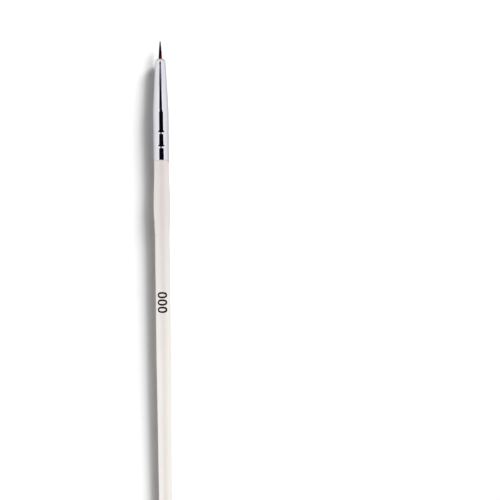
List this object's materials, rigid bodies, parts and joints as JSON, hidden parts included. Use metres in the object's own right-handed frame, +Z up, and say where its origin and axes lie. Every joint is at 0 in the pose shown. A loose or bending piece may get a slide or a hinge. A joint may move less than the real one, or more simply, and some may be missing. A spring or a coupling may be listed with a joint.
{
  "type": "eyeliner brush",
  "caption": "Slim eyeliner brush with a turned lacquered handle, a tapered metal ferrule crimped on its tenon, and a fine pointed hair tip.",
  "frame": {"origin": "on the floor under the middle of the brush's length, as it lies on its belly and its tail", "axes": "+Y along the brush towards the hair's tip, +X across it, +Z up from the floor"},
  "size_m": [0.0048, 0.18, 0.0049],
  "materials": {
    "lacquered_wood": "satin",
    "plated_metal": "polished",
    "hair": "satin",
    "thread": "matte",
    "glue": "gloss"
  },
  "bodies": {
    "root": {"handle": "lacquered_wood", "ferrule": "plated_metal", "bristles": "hair", "knot_thread": "thread", "glue_plug": "glue"}
  },
  "joints": []
}
